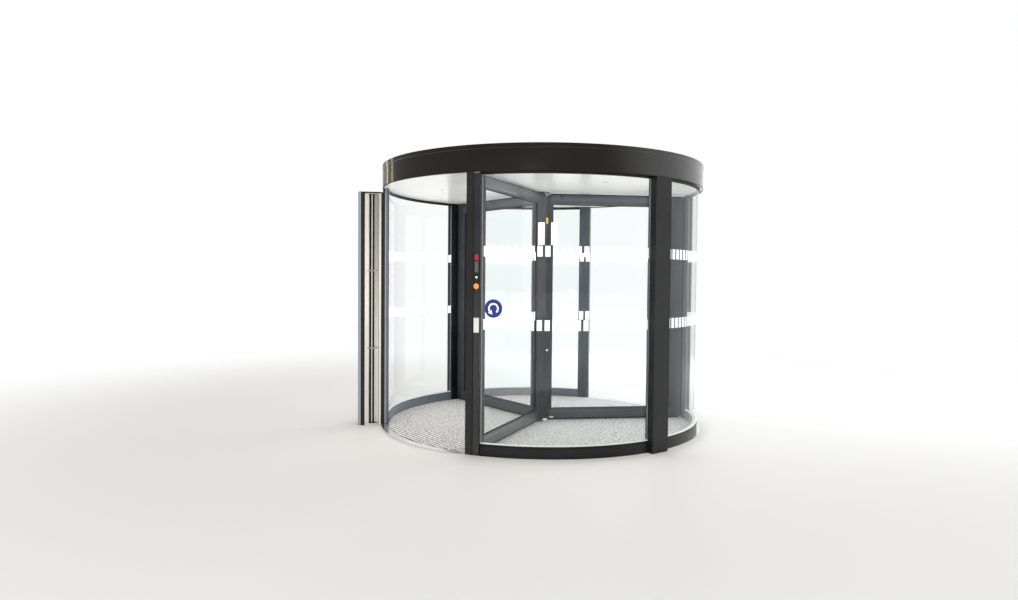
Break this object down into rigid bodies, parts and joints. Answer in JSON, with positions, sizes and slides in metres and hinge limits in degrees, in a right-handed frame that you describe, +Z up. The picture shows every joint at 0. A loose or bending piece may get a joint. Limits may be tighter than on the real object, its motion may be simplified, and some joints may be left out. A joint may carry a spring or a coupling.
{
  "type": "revolving door with three wings",
  "caption": "Automatic revolving door: three glazed wings turning on a centre column in a round glass drum with a shallow canopy, a floor ring and mat, and an air curtain column.",
  "frame": {"origin": "on the drum axis, at the level of the finished floor", "axes": "+Z up along the drum axis, +X along the facade towards the near wall, +Y outdoors, -Y indoors"},
  "size_m": [3.038, 3.0029, 2.4],
  "materials": {
    "stainless_steel": "brushed",
    "entrance_mat": "ribbed",
    "clear_glass": "clear",
    "dark_frame": "satin powder coat",
    "wing_frame": "satin powder coat",
    "fascia_bronze": "glossy",
    "ceiling_white": "semi-gloss",
    "roof_sheet": "matt",
    "polished_steel": "polished",
    "black_plastic": "matt",
    "button_orange": "lit",
    "plate_white": "satin",
    "brush_black": "bristle"
  },
  "bodies": {
    "drum": {"floor_ring": "stainless_steel", "floor_mat": "entrance_mat", "floor_pivot": "stainless_steel", "glass_near_indoor": "clear_glass", "glass_near_outdoor": "clear_glass", "glass_far_indoor": "clear_glass", "glass_far_outdoor": "clear_glass", "kick_rails_near": "dark_frame", "kick_rails_far": "dark_frame", "head_channels_near": "dark_frame", "head_channels_far": "dark_frame", "post_near_indoor": "dark_frame", "post_near_outdoor": "dark_frame", "post_far_indoor": "dark_frame", "post_far_outdoor": "dark_frame", "facade_post_near": "dark_frame", "facade_post_far": "dark_frame", "fascia_indoor": "fascia_bronze", "fascia_outdoor": "fascia_bronze", "ceiling": "ceiling_white", "roof": "roof_sheet", "head_bearing": "dark_frame", "switch_plate": "black_plastic", "push_button": "button_orange", "notice_plate": "plate_white", "air_curtain_casing": "dark_frame", "air_curtain_lips": "polished_steel", "air_curtain_vane": "polished_steel", "air_curtain_brackets": "dark_frame"},
    "rotor": {"centre_column": "wing_frame", "wing_1_stiles": "wing_frame", "wing_1_rails": "wing_frame", "wing_1_glass": "clear_glass", "wing_1_brushes": "brush_black", "wing_2_stiles": "wing_frame", "wing_2_rails": "wing_frame", "wing_2_glass": "clear_glass", "wing_2_brushes": "brush_black", "wing_3_stiles": "wing_frame", "wing_3_rails": "wing_frame", "wing_3_glass": "clear_glass", "wing_3_brushes": "brush_black"}
  },
  "joints": [
    {"name": "rotor_spin", "type": "hinge", "parent": "drum", "child": "rotor", "pos_m": [0, 0, 0], "axis": [0, 0, 1], "continuous": true}
  ]
}
